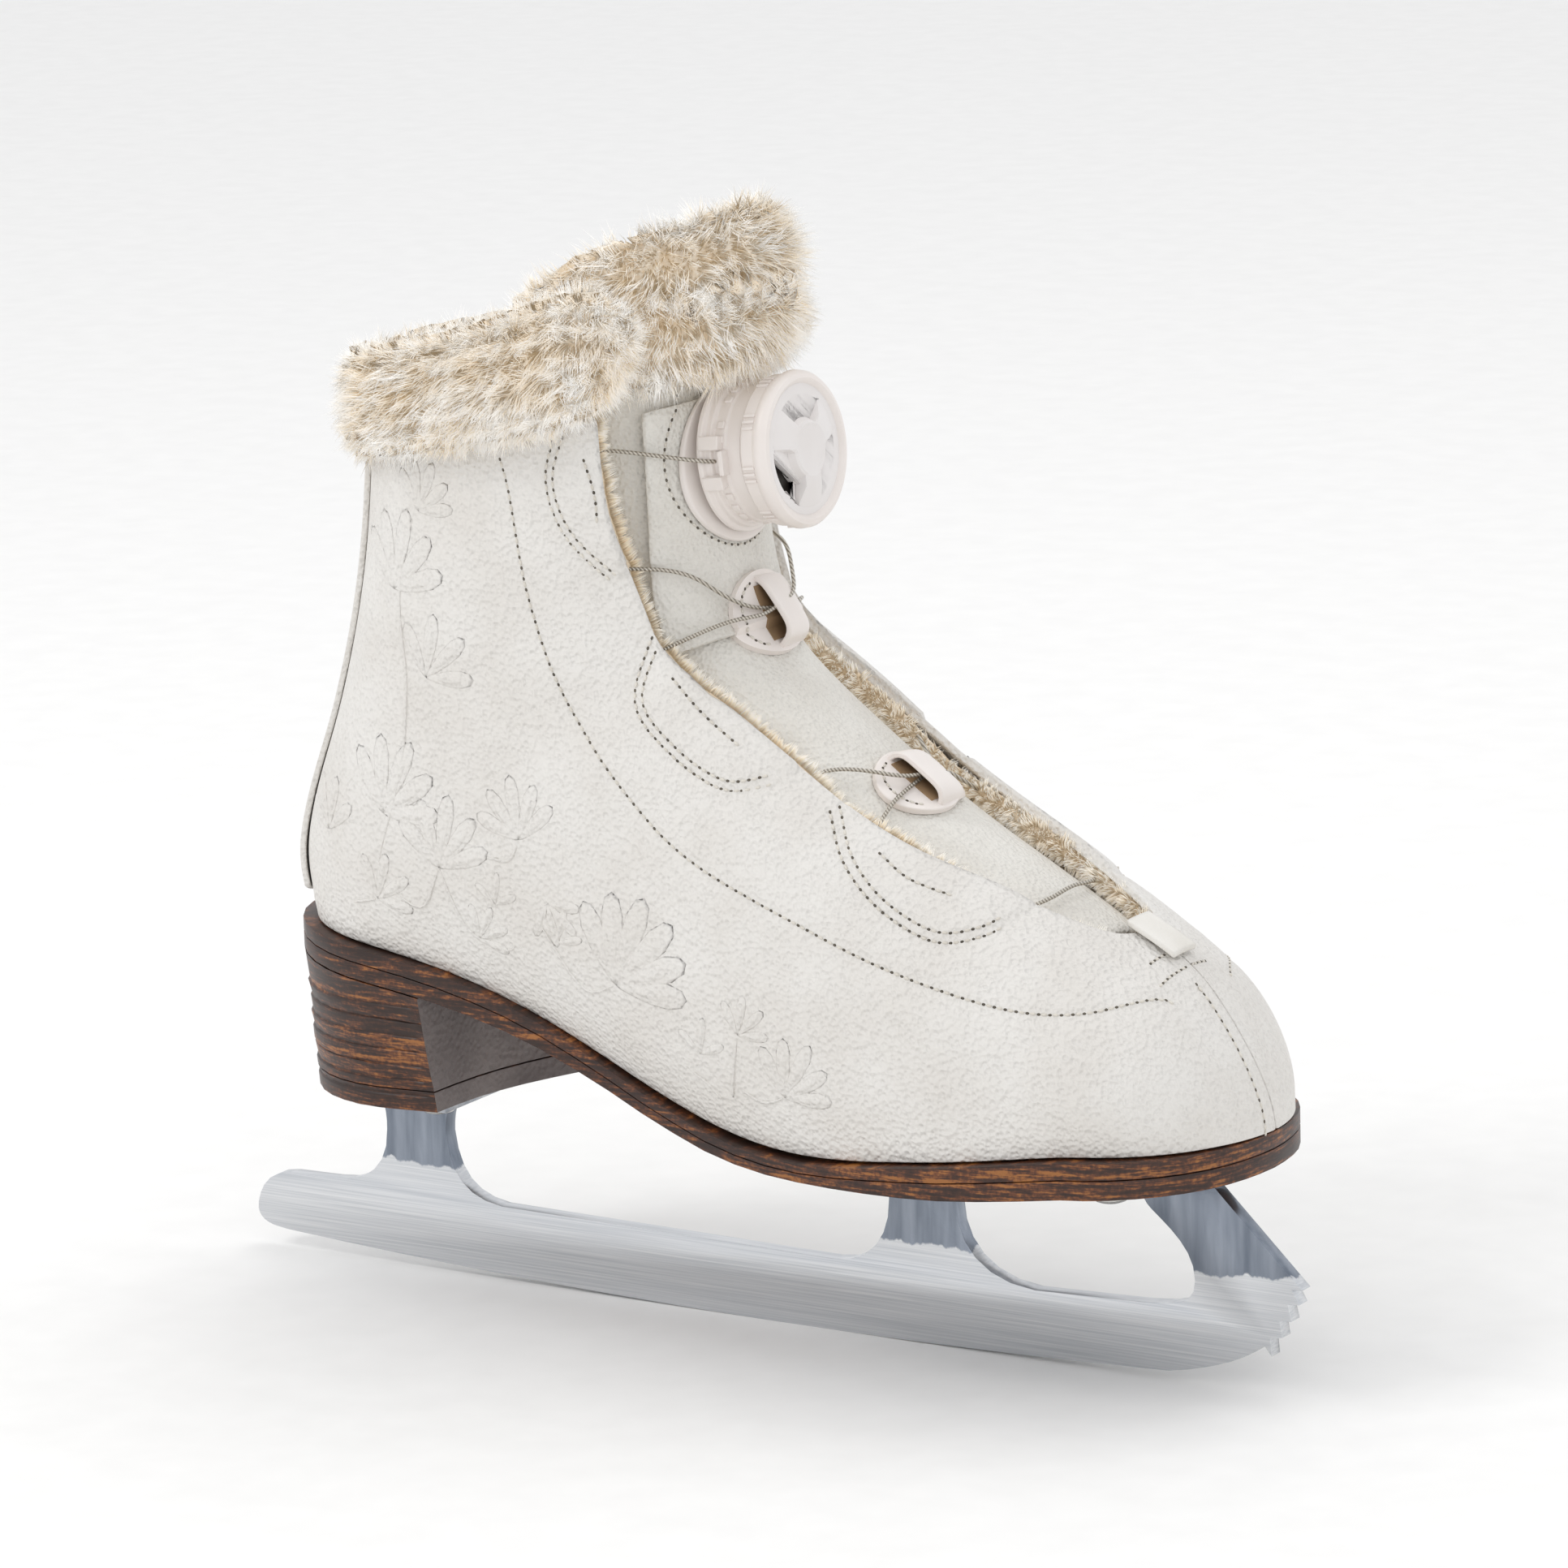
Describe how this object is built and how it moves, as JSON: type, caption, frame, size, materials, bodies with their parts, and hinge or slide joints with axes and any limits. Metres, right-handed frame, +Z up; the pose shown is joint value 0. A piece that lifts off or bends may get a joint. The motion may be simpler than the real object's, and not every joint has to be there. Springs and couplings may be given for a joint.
{
  "type": "ice skate",
  "caption": "Right figure-style leisure ice skate: steel blade with toe picks under a fur-trimmed boot closed by a dial and a wire lace.",
  "frame": {"origin": "middle of the short flat stretch of the running edge that rests on level ice, on the blade's centre plane, where the row is lowest", "axes": "+X towards the toe along the blade, +Y towards the inner (medial) side of the foot, +Z up, square to the ice"},
  "size_m": [0.2823, 0.0919, 0.2573],
  "materials": {
    "boot_leather": "grained, semi matt",
    "plush_lining": "short plush",
    "fur": "long soft pile",
    "stiffener": "matt",
    "insole_fibreboard": "pressed fibre",
    "stacked_wood": "satin, layered",
    "blade_steel": "brushed above, satin along the edge",
    "lace_steel": "twisted wire",
    "dial_plastic": "moulded, fine satin",
    "inner_plastic": "moulded"
  },
  "bodies": {
    "skate": {"quarter_lateral": "boot_leather", "quarter_medial": "boot_leather", "backstay": "boot_leather", "tongue": "boot_leather", "tongue_overlay": "boot_leather", "throat_tab": "boot_leather", "lining_lateral": "plush_lining", "lining_medial": "plush_lining", "tongue_lining": "plush_lining", "footbed": "plush_lining", "collar_fur": "fur", "tongue_cuff": "fur", "facing_lateral": "stiffener", "facing_medial": "stiffener", "toe_puff": "stiffener", "heel_counter": "stiffener", "insole_board": "insole_fibreboard", "welt": "stacked_wood", "outsole": "stacked_wood", "heel_block": "stacked_wood", "heel_lift": "stacked_wood", "blade": "blade_steel", "sole_plate": "blade_steel", "heel_plate": "blade_steel", "shank": "blade_steel", "dial_screw": "blade_steel", "sole_screw_1": "blade_steel", "sole_screw_2": "blade_steel", "sole_screw_3": "blade_steel", "sole_screw_4": "blade_steel", "sole_screw_5": "blade_steel", "sole_screw_6": "blade_steel", "heel_screw_1": "blade_steel", "heel_screw_2": "blade_steel", "heel_screw_3": "blade_steel", "heel_screw_4": "blade_steel", "lace_cable": "lace_steel", "cable_guide_upper": "dial_plastic", "cable_guide_lower": "dial_plastic", "dial_flange": "dial_plastic", "dial_housing": "dial_plastic", "ratchet_ring": "inner_plastic", "tunnel_lateral_1": "inner_plastic", "tunnel_lateral_2": "inner_plastic", "tunnel_lateral_3": "inner_plastic", "tunnel_medial_1": "inner_plastic", "tunnel_medial_2": "inner_plastic", "tunnel_medial_3": "inner_plastic"},
    "reel": {"spool": "inner_plastic", "cable_windings": "lace_steel"},
    "drive": {"pawl_disc": "inner_plastic"},
    "knob": {"knob_core": "dial_plastic", "knob_grip": "dial_plastic", "knob_cap": "dial_plastic"}
  },
  "joints": [
    {"name": "knob_turn", "type": "hinge", "parent": "skate", "child": "drive", "pos_m": [0.00319, 0, 0.20356], "axis": [0.994, 0, 0.1097], "continuous": true},
    {"name": "knob_lift", "type": "slide", "parent": "drive", "child": "knob", "axis": [0.994, 0, 0.1097], "range_m": [0, 0.0025]},
    {"name": "reel_turn", "type": "hinge", "parent": "skate", "child": "reel", "pos_m": [-0.00476, 0, 0.20268], "axis": [0.994, 0, 0.1097], "continuous": true}
  ],
  "couplings": [
    {"joint": "reel_turn", "follows": "knob_turn", "ratio": 1}
  ]
}
